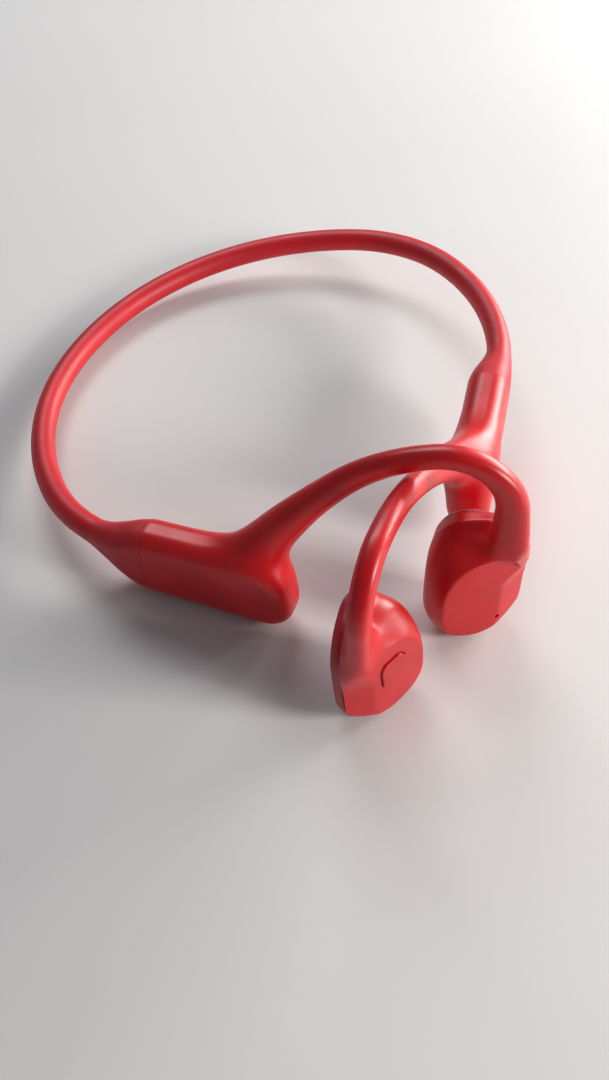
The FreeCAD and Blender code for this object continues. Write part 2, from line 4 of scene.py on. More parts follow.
import bpy
import numpy as np
from mathutils import Matrix, Vector


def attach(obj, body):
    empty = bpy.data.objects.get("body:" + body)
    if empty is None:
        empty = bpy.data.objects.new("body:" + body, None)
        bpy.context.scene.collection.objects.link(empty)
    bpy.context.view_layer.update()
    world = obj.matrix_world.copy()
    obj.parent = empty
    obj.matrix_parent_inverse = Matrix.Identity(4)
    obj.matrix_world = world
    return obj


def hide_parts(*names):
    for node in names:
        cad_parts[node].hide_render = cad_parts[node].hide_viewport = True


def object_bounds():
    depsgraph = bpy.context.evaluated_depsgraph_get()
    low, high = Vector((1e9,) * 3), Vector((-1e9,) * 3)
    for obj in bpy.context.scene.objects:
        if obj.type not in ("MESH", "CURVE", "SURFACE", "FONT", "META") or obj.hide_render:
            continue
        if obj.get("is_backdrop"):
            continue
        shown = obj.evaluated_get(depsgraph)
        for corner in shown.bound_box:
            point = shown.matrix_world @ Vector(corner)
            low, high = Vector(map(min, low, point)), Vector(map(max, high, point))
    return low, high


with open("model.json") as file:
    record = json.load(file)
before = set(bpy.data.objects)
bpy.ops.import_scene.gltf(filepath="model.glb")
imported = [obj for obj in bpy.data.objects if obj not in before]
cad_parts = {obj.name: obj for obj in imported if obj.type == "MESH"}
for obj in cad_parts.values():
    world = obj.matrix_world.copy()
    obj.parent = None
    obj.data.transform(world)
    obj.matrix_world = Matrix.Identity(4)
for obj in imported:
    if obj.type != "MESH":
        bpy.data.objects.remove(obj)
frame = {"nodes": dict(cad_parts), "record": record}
cad_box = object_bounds()

# Bone conduction headphones. The red skins below are smooth forms given by signed distances,
# in millimetres. Each arm has its own axes: a forward along the pod, b outward from the head
# and c up, as the CAD part has them; the right arm is mirrored in b.
MM = 0.001

# ---- the CAD part's driving dimensions, mm and degrees ----
BAND_RADIUS = 2.9
BAND_PLACE = ((0.0, -1.69, 14.1), (0.0, -4.29, -6.84))
BAND_REAR = (-0.5, 71.6)
BAND_REAR_HEADING = {"left": 3.5, "right": 183.5}
BAND_ARCS = {
    "left": [(66.0, 43.0), (39.0, 45.5), (59.0, 49.3)],
    "right": [(66.0, 40.5), (58.0, 44.0), (38.5, 46.3)],
}
BAND_END_RUN = {"left": 5.1, "right": 4.0}
BAND_TURN = {"left": -1, "right": 1}
BOOT_RUN = 19.0
# (share of the boot, half width, half height)
BOOT_SECTIONS = [
    (0.0, 2.9, 2.9), (0.18, 3.0, 3.1), (0.4, 3.5, 4.4),
    (0.62, 4.2, 6.3), (0.82, 4.65, 8.0), (1.0, 4.9, 8.8),
]
ARM_PLACE = {
    "left": ((42.8, -16.09, 15.9), (-133.0, -0.4, 6.0)),
    "right": ((-50.5, -14.19, 9.0), (-48.0, -4.0, -5.9)),
}
MIRROR = {"left": 1.0, "right": -1.0}
SEAM_A = 5.0
POD_FRONT = 38.2
POD_HALF_HEIGHT = 8.8
POD_HALF_WIDTH = 4.9
POD_ROUNDING = 3.4
POD_TOE_RADIUS = 7.0
POD_TOE_ANGLE = 4.0
POD_BROW_RADIUS = 8.0
POD_FRONT_SLOPE = 0.16
POD_FRONT_LOW_C = -3.0
POD_EDGE = 0.15               # rounding where the pod meets the boot
FLANK_CROWN = 0.55
HOOK_START = (25.5, 1.6)
HOOK_HEADING = {"left": 47.6, "right": 59.8}
HOOK_ARCS = {
    "left": [(116.2, 21.4), (39.6, 22.1), (10.2, 97.3)],
    "right": [(105.4, 17.6), (38.3, 30.7), (12.4, 99.0)],
}
HOOK_END_RUN = {"left": 14.1, "right": 15.5}
HOOK_LEAN = 13.2
HOOK_LEAN_POWER = 1.7
HOOK_END_ROUNDING = 1.8
POD_BLEND = 9.0               # how far the hook flows out over the pod
CAN_BLEND = 8.0               # and over the transducer
# (share of the hook, half thickness in the a-c view, half thickness along b, squareness)
HOOK_GIRTH = [
    (0.0, 5.4, 2.6, 2.0), (0.10, 5.0, 3.9, 2.0), (0.17, 4.4, 3.7, 2.0), (0.28, 3.4, 2.9, 2.0),
    (0.38, 2.9, 2.5, 2.1), (0.55, 2.4, 2.3, 2.2), (0.69, 2.4, 2.3, 2.4), (0.81, 3.2, 2.3, 2.6),
    (0.93, 3.9, 2.4, 2.6), (1.0, 4.0, 2.5, 2.6),
]
CAN_PLACE = {"left": (79.0, -11.0, -0.5), "right": (73.3, -12.5, 2.0)}
CAN_HALF_WIDTH = 10.0
CAN_HALF_HEIGHT = 14.3
CAN_CORNER = 9.0
CAN_OUTER_B = 7.9
CAN_ROUNDING = 6.5
CAN_TOP_ROUNDING = 3.0
FACET_DISTANCE = 3.8
FACET_ANGLE = 53.0
FACET_EDGE = 0.3
FACET_RELEASE = 1.0           # above its top edge the facet tilts outward by this slope
FACET_FALL = {"front": 0.09, "rear": 0.045}  # how fast its top edge falls away, per mm
SHOULDER_TOP_C = 8.9
SHOULDER_CREST = -1.5
SHOULDER_ANGLE = 53.3
SHOULDER_RADIUS = 14.0
COLLAR_FLARE = 4.0            # the shoulder widens by this much towards the mouth
COLLAR_START_B = -1.0
COLLAR_DEPTH = 3.2
FRONT_ANGLE = 32.4            # the narrow front side of the shell leans back by this much
FRONT_DISTANCE = 5.32
FRONT_EDGE = {"can": 0.8, "hook": 0.5}
FRONT_TOP_C = 0.0
FRONT_SPREAD = 0.25           # above that it spreads forward into the hook
MOUTH_B = -5.35
MOUTH_EDGE = 0.2
PAD_BACK_B = -5.6
PAD_FACE_B = -8.2
PAD_INSET = (0.6, 0.3)        # how much less wide and less high than the shell the pad is
PAD_SHIFT_A = -0.35
PAD_CROWN = 0.35
PAD_ROUNDING = 2.3
MIC_PLACE = (-4.8, -9.8)
MIC_RADIUS = 0.5
MIC_DEPTH = 1.22
# corners of the multifunction button on the facet, before its outline is rounded
BUTTON_CORNERS = [
    (-1.3, 3.1), (1.5, 3.6), (2.3, 2.2), (2.4, -2.3), (-0.7, -4.0), (-1.7, -2.9), (-1.9, 1.9),
]
BUTTON_ROUNDING = 0.95
BUTTON_EDGE = 0.28
BUTTON_GAP = 0.22
BUTTON_PROUD = 0.35
BUTTON_ROOT = 0.9
BUTTON_POCKET = 1.3
VOLUME_BUTTON_A = {"volume_down_button": 13.0, "volume_up_button": 20.5}
VOLUME_HALF = (2.7, 1.5)
VOLUME_CORNER = 1.49
VOLUME_EDGE = 0.3
VOLUME_GAP = 0.2
VOLUME_PROUD = 0.3
VOLUME_ROOT = 0.9
VOLUME_WELL = 1.75
SIGN_HALF = (0.8, 0.14)       # half length and half width of a bar of the plus and the minus
SIGN_PROUD = 0.1
PORT_PLACE = (14.0, 0.5)
PORT_HALF = (4.75, 2.55)
PORT_CORNER = 2.5
LIGHT_PLACE = (22.0, 3.5)
LIGHT_RADIUS = 0.72
RECESS_DEPTH = 0.5
CUT_EDGE = 0.1                # rounding of the edge of a pocket or a recess
HOLE_EDGE = 0.12              # and of a hole or a well
BACK_EDGE = 0.05              # and of a button's hidden back

# ---- mesh sizes, mm ----
FAR = 20.0                    # the distance given to points that are nowhere near a form
SKIN_STEP = 0.3
PAD_STEP = 0.4
BUTTON_STEP = 0.16
VOLUME_STEP = 0.12
RING_POINTS = 56
BAND_RINGS = 100
BOOT_RINGS = 60
SEAM_SHRINK = 0.12            # the boot's last ring sits this much inside the pod's rear edge


# ---- axes and paths ----
def turned(yaw, pitch, roll):
    """Rotation matrix from yaw about z, pitch about y and roll about x, in degrees."""
    y, p, r = (math.radians(value) for value in (yaw, pitch, roll))
    about_z = np.array([[math.cos(y), -math.sin(y), 0], [math.sin(y), math.cos(y), 0], [0, 0, 1]])
    about_y = np.array([[math.cos(p), 0, math.sin(p)], [0, 1, 0], [-math.sin(p), 0, math.cos(p)]])
    about_x = np.array([[1, 0, 0], [0, math.cos(r), -math.sin(r)], [0, math.sin(r), math.cos(r)]])
    return about_z @ about_y @ about_x


def arm_to_world(side, points):
    """From one arm's own axes to the headset's, in millimetres."""
    place, angles = ARM_PLACE[side]
    flip = np.array([1.0, MIRROR[side], 1.0])
    return np.array(place) + (points * flip) @ turned(*angles).T


def trace(start, heading, moves, distances):
    """Points and headings along a path of tangent arcs, at an array of distances."""
    points, headings = [], []
    for distance in distances:
        (x, y), angle = start, math.radians(heading)
        for length, turn in moves:
            step = min(distance, length)
            if turn:
                radius = length / math.radians(turn)
                after = angle + step / radius
                x += radius * (math.sin(after) - math.sin(angle))
                y -= radius * (math.cos(after) - math.cos(angle))
                angle = after
            else:
                x += step * math.cos(angle)
                y += step * math.sin(angle)
            distance -= step
            if distance <= 0:
                break
        points.append((x, y))
        headings.append(angle)
    return np.array(points), np.array(headings)


def arc_moves(pairs, sign, last_run):
    """Arcs of the given radii and turns, then a straight run, as lengths and turns."""
    arcs = [(radius * math.radians(turn), sign * turn) for radius, turn in pairs]
    return arcs + [(last_run, 0.0)]


def smooth(x):
    x = np.clip(x, 0.0, 1.0)
    return x * x * (3 - 2 * x)


def through(table, column, x):
    """A smooth curve through a table's rows: cubic pieces with tangents from the neighbours."""
    xs = np.array([row[0] for row in table])
    ys = np.array([row[column] for row in table])
    slopes = np.gradient(ys, xs)
    index = np.clip(np.searchsorted(xs, x) - 1, 0, len(xs) - 2)
    gap = xs[index + 1] - xs[index]
    t = (x - xs[index]) / gap
    return (
        (2 * t ** 3 - 3 * t ** 2 + 1) * ys[index] + (t ** 3 - 2 * t ** 2 + t) * gap * slopes[index]
        + (3 * t ** 2 - 2 * t ** 3) * ys[index + 1] + (t ** 3 - t ** 2) * gap * slopes[index + 1]
    )


# ---- signed distances, negative inside ----
def both(x, y, radius):
    """What two forms share, with the edge between them rounded."""
    corner = np.hypot(np.maximum(x + radius, 0), np.maximum(y + radius, 0))
    return np.minimum(np.maximum(x, y), -radius) + corner


def merged(x, y, reach):
    """Two forms flowing into each other."""
    near = np.maximum(reach - np.abs(x - y), 0) / reach
    return np.minimum(x, y) - near ** 3 * reach / 6


def without(x, y, radius):
    return both(x, -y, radius)


def rounded_rectangle(x, y, half_x, half_y, corner):
    dx, dy = np.abs(x) - half_x + corner, np.abs(y) - half_y + corner
    outside = np.hypot(np.maximum(dx, 0), np.maximum(dy, 0))
    return np.minimum(np.maximum(dx, dy), 0) + outside - corner


def polygon(x, y, corners):
    """Signed distance to a polygon whose corners run clockwise or counter-clockwise."""
    nearest = np.full(x.shape, np.inf)
    inside = np.zeros(x.shape, bool)
    for (x0, y0), (x1, y1) in zip(corners, corners[1:] + corners[:1]):
        along = ((x - x0) * (x1 - x0) + (y - y0) * (y1 - y0)) / ((x1 - x0) ** 2 + (y1 - y0) ** 2)
        along = np.clip(along, 0, 1)
        gap = np.hypot(x - x0 - along * (x1 - x0), y - y0 - along * (y1 - y0))
        nearest = np.minimum(nearest, gap)
        if y0 != y1:
            crosses = ((y0 > y) != (y1 > y)) & (x < (x1 - x0) * (y - y0) / (y1 - y0) + x0)
            inside ^= crosses
    return np.where(inside, -nearest, nearest)


def flank(across, up, half_side, half_up, crown):
    """Distance to a pair of gently crowned sides."""
    return np.abs(across) - half_side + crown * (up / half_up) ** 2


def pod_form(p):
    """The pod's body, with a rounded toe below and a rounded brow above."""
    a, b, c = p.T
    slope = math.radians(POD_TOE_ANGLE)
    under = (-POD_HALF_HEIGHT - math.tan(slope) * (a - SEAM_A) - c) * math.cos(slope)
    front = a - POD_FRONT + POD_FRONT_SLOPE * np.maximum(c - POD_FRONT_LOW_C, 0)
    toe = both(front, under, POD_TOE_RADIUS)
    brow = both(front, c - POD_HALF_HEIGHT, POD_BROW_RADIUS)
    sides = flank(b, c, POD_HALF_WIDTH, POD_HALF_HEIGHT, FLANK_CROWN)
    return both(both(np.maximum(toe, brow), sides, POD_ROUNDING), SEAM_A - a, POD_EDGE)


class Hook:
    """The hook of one arm: frames along its centreline and its distance."""

    count = 301

    def __init__(self, side):
        moves = arc_moves(HOOK_ARCS[side], -1, HOOK_END_RUN[side])
        self.length = sum(length for length, turn in moves)
        share = np.linspace(0, 1, self.count)
        flat, heading = trace(HOOK_START, HOOK_HEADING[side], moves, share * self.length)
        left_over = 1 - share
        lean = -HOOK_LEAN * (1 - left_over ** HOOK_LEAN_POWER)
        self.centre = np.stack([flat[:, 0], lean, flat[:, 1]], 1)
        self.normal = np.stack([-np.sin(heading), np.zeros(self.count), np.cos(heading)], 1)
        slide = HOOK_LEAN * HOOK_LEAN_POWER * left_over ** (HOOK_LEAN_POWER - 1) / self.length
        tangent = np.stack([np.cos(heading), -slide, np.sin(heading)], 1)
        self.tangent = tangent / np.linalg.norm(tangent, axis=1)[:, None]
        sideways = np.cross(self.tangent, self.normal)
        self.sideways = sideways / np.linalg.norm(sideways, axis=1)[:, None]
        self.girth = np.stack([through(HOOK_GIRTH, column, share) for column in (1, 2, 3)], 1)

    def form(self, p):
        """The distance to the hook, worked out only where a point is near it."""
        out = np.full(len(p), FAR)
        low, high = self.centre.min(0) - 12, self.centre.max(0) + 12
        near = np.flatnonzero(np.all((p > low) & (p < high), axis=1))
        for some in np.array_split(near, max(1, len(near) // 20000)):
            out[some] = self.distance(p[some])
        return out

    def distance(self, p):
        q, centre = p.astype(np.float32), self.centre.astype(np.float32)
        gap = (centre ** 2).sum(1)[None, :] - 2 * q @ centre.T
        index = gap.argmin(1)
        spacing = np.linalg.norm(self.centre[1] - self.centre[0])
        along = ((p - self.centre[index]) * self.tangent[index]).sum(1) / spacing
        place = np.clip(index + along, 0, self.count - 1)
        beyond = np.abs(index + along - place) * spacing
        low = np.minimum(place.astype(int), self.count - 2)
        part = (place - low)[:, None]

        def at(table):
            return table[low] * (1 - part) + table[low + 1] * part

        offset = p - at(self.centre)
        u, v = (offset * at(self.normal)).sum(1), (offset * at(self.sideways)).sum(1)
        half_u, half_v, power = at(self.girth).T
        x, y = np.abs(u) / half_u + 1e-6, np.abs(v) / half_v + 1e-6
        size = (x ** power + y ** power) ** (1 / power)
        slope = size ** (1 - power) * np.hypot(x ** (power - 1) / half_u, y ** (power - 1) / half_v)
        across = (size - 1) / slope
        end = np.hypot(np.maximum(across + HOOK_END_ROUNDING, 0), beyond) - HOOK_END_ROUNDING
        return np.where(beyond > 0, end, across)


def facet_axes(q):
    """Distance in front of the facet's parallel through the centre, and across it to the rear."""
    turn = math.radians(FACET_ANGLE)
    ahead = q[:, 0] * math.cos(turn) + q[:, 1] * math.sin(turn)
    across = -q[:, 0] * math.sin(turn) + q[:, 1] * math.cos(turn)
    return ahead, across


def can_form(q):
    """The transducer's shell without its flat facets, about its own centre."""
    a, b, c = q.T
    outline = rounded_rectangle(a, c, CAN_HALF_WIDTH, CAN_HALF_HEIGHT, CAN_CORNER)
    form = both(outline, b - CAN_OUTER_B, CAN_ROUNDING)
    ahead, across = facet_axes(q)
    tilt = math.radians(SHOULDER_ANGLE)
    rise = ahead * math.cos(tilt) + c * math.sin(tilt)
    crest = FACET_DISTANCE * math.cos(tilt) + SHOULDER_TOP_C * math.sin(tilt)
    rise_from_axis = np.maximum(rise - crest + SHOULDER_RADIUS, 0.01)
    shoulder = np.hypot(across - SHOULDER_CREST, rise_from_axis) - SHOULDER_RADIUS
    flare = COLLAR_FLARE * smooth((COLLAR_START_B - b) / COLLAR_DEPTH)
    return both(form, shoulder - flare, CAN_TOP_ROUNDING)


def pod_bottom(a):
    """Height of the pod's underside."""
    return -POD_HALF_HEIGHT - math.tan(math.radians(POD_TOE_ANGLE)) * (a - SEAM_A)


def arm_form(side, hook):
    """The whole red skin of one arm: pod, hook and the transducer's shell."""
    centre = np.array(CAN_PLACE[side])

    def form(p):
        a, b, c = p.T
        q = p - centre
        up = q[:, 2]
        hooked = hook.form(p)
        ahead, across = facet_axes(q)
        turn = math.radians(FRONT_ANGLE)
        front = q[:, 0] * math.cos(turn) + q[:, 1] * math.sin(turn) - FRONT_DISTANCE
        can = both(can_form(q), front, FRONT_EDGE["can"])
        can = both(can, ahead - FACET_DISTANCE, FACET_EDGE)
        pod = np.maximum(merged(pod_form(p), hooked, POD_BLEND), SEAM_A - a)
        whole = np.minimum(pod, merged(can, hooked, CAN_BLEND))
        spread = FRONT_SPREAD * np.maximum(up - FRONT_TOP_C, 0)
        whole = both(whole, front - spread, FRONT_EDGE["hook"])
        off = across - SHOULDER_CREST
        fall = np.where(off < 0, FACET_FALL["front"], FACET_FALL["rear"])
        rise = np.maximum(up - SHOULDER_TOP_C + off ** 2 * fall, 0)
        whole = both(whole, ahead - FACET_DISTANCE - FACET_RELEASE * rise, FACET_EDGE)
        whole = both(whole, MOUTH_B - q[:, 1], MOUTH_EDGE)
        if side == "left":
            outline = polygon(across, up, BUTTON_CORNERS) - BUTTON_ROUNDING - BUTTON_GAP
            pocket = np.maximum(outline, FACET_DISTANCE - BUTTON_POCKET - ahead)
            whole = without(whole, pocket, CUT_EDGE)
        else:
            hole = np.hypot(across - MIC_PLACE[0], up - MIC_PLACE[1]) - MIC_RADIUS
            hole = np.maximum(hole, FACET_DISTANCE - MIC_DEPTH - ahead)
            whole = without(whole, hole, HOLE_EDGE)
            for button_a in VOLUME_BUTTON_A.values():
                half_a, half_b = (half + VOLUME_GAP for half in VOLUME_HALF)
                well = rounded_rectangle(
                    a - button_a, b, half_a, half_b, VOLUME_CORNER + VOLUME_GAP)
                well = np.maximum(well, c - pod_bottom(a) - VOLUME_WELL)
                whole = without(whole, well, HOLE_EDGE)
            port = rounded_rectangle(a - PORT_PLACE[0], c - PORT_PLACE[1], *PORT_HALF, PORT_CORNER)
            light = np.hypot(a - LIGHT_PLACE[0], c - LIGHT_PLACE[1]) - LIGHT_RADIUS
            recess = np.maximum(np.minimum(port, light), b + POD_HALF_WIDTH - RECESS_DEPTH)
            whole = without(whole, recess, CUT_EDGE)
        return whole

    return form


def pad_form(q):
    """The gently crowned pad in the shell's mouth."""
    a, b, c = q.T
    outline = rounded_rectangle(
        a - PAD_SHIFT_A, c, CAN_HALF_WIDTH - PAD_INSET[0], CAN_HALF_HEIGHT - PAD_INSET[1],
        CAN_CORNER - PAD_INSET[0])
    crown = PAD_CROWN * ((a / CAN_HALF_WIDTH) ** 2 + (c / CAN_HALF_HEIGHT) ** 2)
    face = both(outline, PAD_FACE_B + crown - b, PAD_ROUNDING)
    return both(face, b - PAD_BACK_B, MOUTH_EDGE)


# ---- meshes ----
def surface(form, low, high, step):
    """Dual contouring: vertices and quads of the surface where form is zero, edges kept crisp."""
    coarse = 4                # the form is first looked at on a grid this many steps wide
    stiffness = 0.08          # how strongly a vertex stays by the middle of its crossings
    low, high = np.array(low, float), np.array(high, float)
    blocks = np.ceil((high - low) / (step * coarse)).astype(int)
    axes = [low[k] + np.arange(blocks[k] + 1) * step * coarse for k in range(3)]
    grid = np.stack(np.meshgrid(*axes, indexing="ij"), -1).reshape(-1, 3)
    rough = form(grid).reshape(blocks + 1)
    shape = tuple(blocks * coarse + 1)
    nearest = [(np.arange(shape[k]) + coarse // 2) // coarse for k in range(3)]
    values = rough[np.ix_(*(np.clip(nearest[k], 0, blocks[k]) for k in range(3)))]
    index = np.argwhere(np.abs(values) < step * coarse + 2.5 * step)
    values[tuple(index.T)] = form(low + index * step)
    values[values == 0] = 1e-6
    inside = values < 0

    points, quads, flips = [], [], []
    strides = np.array([shape[1] * shape[2], shape[2], 1])
    for axis in range(3):
        first = [slice(None)] * 3
        second = [slice(None)] * 3
        first[axis], second[axis] = slice(None, -1), slice(1, None)
        start = np.argwhere(inside[tuple(first)] != inside[tuple(second)])
        if len(start) == 0:
            continue
        end = start.copy()
        end[:, axis] += 1
        v0, v1 = values[tuple(start.T)], values[tuple(end.T)]
        point = low + (start + (end - start) * (v0 / (v0 - v1))[:, None]) * step
        j, k = (axis + 1) % 3, (axis + 2) % 3
        around = []
        for dj, dk in ((0, 0), (-1, 0), (-1, -1), (0, -1)):
            cell = start.copy()
            cell[:, j] += dj
            cell[:, k] += dk
            around.append(cell @ strides)
        quads.append(np.stack(around, 1))
        flips.append(v0 > 0)
        points.append(point)
    points, quads, flips = np.concatenate(points), np.concatenate(quads), np.concatenate(flips)
    normals = gradient(form, points)
    cells, where = np.unique(quads, return_inverse=True)
    where = where.reshape(-1, 4)
    flat = where.ravel()
    each = np.repeat(np.arange(len(points)), 4)
    count = np.bincount(flat, minlength=len(cells))

    def gathered(weights):
        return np.bincount(flat, weights=weights[each], minlength=len(cells))

    middle = np.stack([gathered(points[:, k]) for k in range(3)], 1) / count[:, None]
    away = (normals[each] * (points[each] - middle[flat])).sum(1)
    matrix = np.zeros((len(cells), 3, 3))
    target = np.zeros((len(cells), 3))
    for r in range(3):
        target[:, r] = np.bincount(flat, weights=normals[each, r] * away, minlength=len(cells))
        for s in range(3):
            matrix[:, r, s] = gathered(normals[:, r] * normals[:, s])
        matrix[:, r, r] += stiffness
    shift = np.linalg.solve(matrix, target[:, :, None])[:, :, 0]
    corner = np.stack([cells // strides[0], cells // strides[1] % shape[1], cells % shape[2]], 1)
    lowest = low + corner * step
    vertices = np.clip(middle + shift, lowest, lowest + step)
    faces = where.copy()
    faces[flips] = faces[flips][:, ::-1]
    return vertices, faces


def gradient(form, points):
    """Unit normals, from four points round each one."""
    step = 0.02
    out = np.zeros_like(points)
    for sign in ((1, -1, -1), (-1, -1, 1), (-1, 1, -1), (1, 1, 1)):
        direction = np.array(sign, float)
        out += form(points + direction * step)[:, None] * direction
    length = np.linalg.norm(out, axis=1)
    return out / np.maximum(length, 1e-9)[:, None]


def make_piece(name, vertices, faces, body, material, replaced, crease=35.0):
    """A Blender mesh from millimetre points, smooth but for edges sharper than crease."""
    mesh = bpy.data.meshes.new(name)
    mesh.from_pydata((np.asarray(vertices) * MM).tolist(), [], [list(face) for face in faces])
    mesh.validate()
    mesh.update()
    mesh.shade_smooth()
    mesh.set_sharp_from_angle(angle=math.radians(crease))
    mesh.materials.append(material)
    piece = bpy.data.objects.new(name, mesh)
    bpy.context.scene.collection.objects.link(piece)
    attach(piece, body)
    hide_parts(*replaced)


def form_piece(name, side, form, low, high, step, body, material, replaced):
    """A piece from a form in one arm's axes, meshed inside the box from low to high."""
    vertices, faces = surface(form, low, high, step)
    vertices = arm_to_world(side, vertices)
    if side == "right":
        faces = faces[:, ::-1]
    make_piece(name, vertices, faces.tolist(), body, material, replaced)


# ---- the neckband with its two boots ----
def section_ring(half_side, half_up, corner, crown):
    """Points round a crowned rounded rectangle, as (across, up), found by halving."""
    angle = np.linspace(0, 2 * np.pi, RING_POINTS, endpoint=False)
    x, y = np.cos(angle), np.sin(angle)
    low, high = np.zeros(RING_POINTS), np.full(RING_POINTS, FAR)
    for _ in range(40):
        radius = (low + high) / 2
        sides = flank(radius * x, radius * y, half_side, half_up, crown)
        inside = both(sides, np.abs(radius * y) - half_up, corner) < 0
        low, high = np.where(inside, radius, low), np.where(inside, high, radius)
    return np.stack([low * x, low * y], 1)


def band_rings(side):
    """Rings from the rear point to the pod's rear face."""
    turn = turned(*BAND_PLACE[1])
    place = np.array(BAND_PLACE[0])
    moves = arc_moves(BAND_ARCS[side], BAND_TURN[side], BAND_END_RUN[side])
    total = sum(length for length, angle in moves)
    boot_start = total - BOOT_RUN
    tube = np.linspace(0, boot_start, BAND_RINGS)
    distances = np.concatenate([tube[:-1], np.linspace(boot_start, total, BOOT_RINGS)])
    flat, heading = trace(BAND_REAR, BAND_REAR_HEADING[side], moves, distances)
    centres = place + np.pad(flat, ((0, 0), (0, 1))) @ turn.T
    outward = np.stack([-np.sin(heading), np.cos(heading), np.zeros(len(heading))], 1)
    outward = -BAND_TURN[side] * outward @ turn.T
    band_up = turn @ np.array([0.0, 0.0, 1.0])
    origin = arm_to_world(side, np.zeros((1, 3)))[0]
    arm_out = arm_to_world(side, np.array([[0.0, 1.0, 0.0]]))[0] - origin
    arm_up = arm_to_world(side, np.array([[0.0, 0.0, 1.0]]))[0] - origin
    seam = arm_to_world(side, np.array([[SEAM_A, 0.0, 0.0]]))[0]
    share = np.clip((distances - boot_start) / BOOT_RUN, 0, 1)
    half_sides, half_ups = (through(BOOT_SECTIONS, column, share) for column in (1, 2))
    rings = []
    for index, part in enumerate(share):
        blend = float(smooth(part))
        centre = centres[index] + (seam - centres[-1]) * blend
        across = outward[index] * (1 - blend) + arm_out * blend
        across /= np.linalg.norm(across)
        up = band_up * (1 - blend) + arm_up * blend
        up -= across * (up @ across)
        up /= np.linalg.norm(up)
        corner = BAND_RADIUS + (POD_ROUNDING - BAND_RADIUS) * blend - 0.001
        shrink = SEAM_SHRINK if index == len(share) - 1 else 0.0
        ring = section_ring(
            half_sides[index] - shrink, half_ups[index] - shrink, corner, FLANK_CROWN * blend)
        rings.append(centre + ring[:, :1] * across + ring[:, 1:] * up)
    return rings


def loft(rings):
    """Vertices and faces of a closed skin through equal rings."""
    count = len(rings[0])
    vertices = np.concatenate(rings)
    faces = []
    for row in range(len(rings) - 1):
        for k in range(count):
            after = (k + 1) % count
            faces.append((row * count + k, row * count + after,
                          (row + 1) * count + after, (row + 1) * count + k))
    last = (len(rings) - 1) * count
    faces.append(tuple(range(count))[::-1])
    faces.append(tuple(last + k for k in range(count)))
    return vertices, faces


# ---- materials ----
def new_material(name):
    material = bpy.data.materials.new(name)
    material.use_nodes = True
    nodes, links = material.node_tree.nodes, material.node_tree.links
    return material, nodes, links, nodes["Principled BSDF"]


def noise(nodes, links, scale, detail, roughness=0.5):
    place = nodes.new("ShaderNodeTexCoord")
    texture = nodes.new("ShaderNodeTexNoise")
    texture.inputs["Scale"].default_value = scale
    texture.inputs["Detail"].default_value = detail
    texture.inputs["Roughness"].default_value = roughness
    links.new(place.outputs["Object"], texture.inputs["Vector"])
    return texture


def tones(colour, spread):
    """A slightly darker and a slightly lighter tone of a colour."""
    darker = [value * (1 - spread) for value in colour]
    lighter = [min(1.0, value * (1 + spread)) for value in colour]
    return darker, lighter


def varied(nodes, links, shader, low_colour, high_colour, scale):
    """Two close colours in soft patches."""
    ramp = nodes.new("ShaderNodeValToRGB")
    ramp.color_ramp.elements[0].position = 0.35
    ramp.color_ramp.elements[1].position = 0.65
    ramp.color_ramp.elements[0].color = (*low_colour, 1)
    ramp.color_ramp.elements[1].color = (*high_colour, 1)
    links.new(noise(nodes, links, scale, 3.0).outputs["Fac"], ramp.inputs["Fac"])
    links.new(ramp.outputs["Color"], shader.inputs["Base Color"])


def roughness_patches(nodes, links, shader, low, high, scale):
    spread = nodes.new("ShaderNodeMapRange")
    spread.inputs["From Min"].default_value = 0.3
    spread.inputs["From Max"].default_value = 0.7
    spread.inputs["To Min"].default_value = low
    spread.inputs["To Max"].default_value = high
    links.new(noise(nodes, links, scale, 4.0, 0.6).outputs["Fac"], spread.inputs["Value"])
    links.new(spread.outputs["Result"], shader.inputs["Roughness"])


def grain(nodes, links, shader, scale, height, strength):
    bump = nodes.new("ShaderNodeBump")
    bump.inputs["Strength"].default_value = strength
    bump.inputs["Distance"].default_value = height
    links.new(noise(nodes, links, scale, 2.0).outputs["Fac"], bump.inputs["Height"])
    links.new(bump.outputs["Normal"], shader.inputs["Normal"])


def soft_touch(name, colour, roughness):
    """Silicone or soft-touch coating: fine grain, slightly uneven gloss and tone."""
    material, nodes, links, shader = new_material(name)
    varied(nodes, links, shader, *tones(colour, 0.08), 90.0)
    roughness_patches(nodes, links, shader, roughness - 0.05, roughness + 0.05, 160.0)
    grain(nodes, links, shader, 7000.0, 0.00002, 0.35)
    shader.inputs["Sheen Weight"].default_value = 0.04
    shader.inputs["Sheen Roughness"].default_value = 0.45
    shader.inputs["Sheen Tint"].default_value = (1.0, 0.72, 0.7, 1.0)
    shader.inputs["Specular IOR Level"].default_value = 0.55
    return material


def solid_stuff(name, colour, roughness, metallic=0.0, scale=700.0, height=0.00001):
    """Metal, board or moulded plastic with a fine uneven surface."""
    material, nodes, links, shader = new_material(name)
    varied(nodes, links, shader, *tones(colour, 0.1), scale)
    roughness_patches(nodes, links, shader, max(0.05, roughness - 0.07), roughness + 0.07, scale)
    grain(nodes, links, shader, scale * 6, height, 0.3)
    shader.inputs["Metallic"].default_value = metallic
    return material


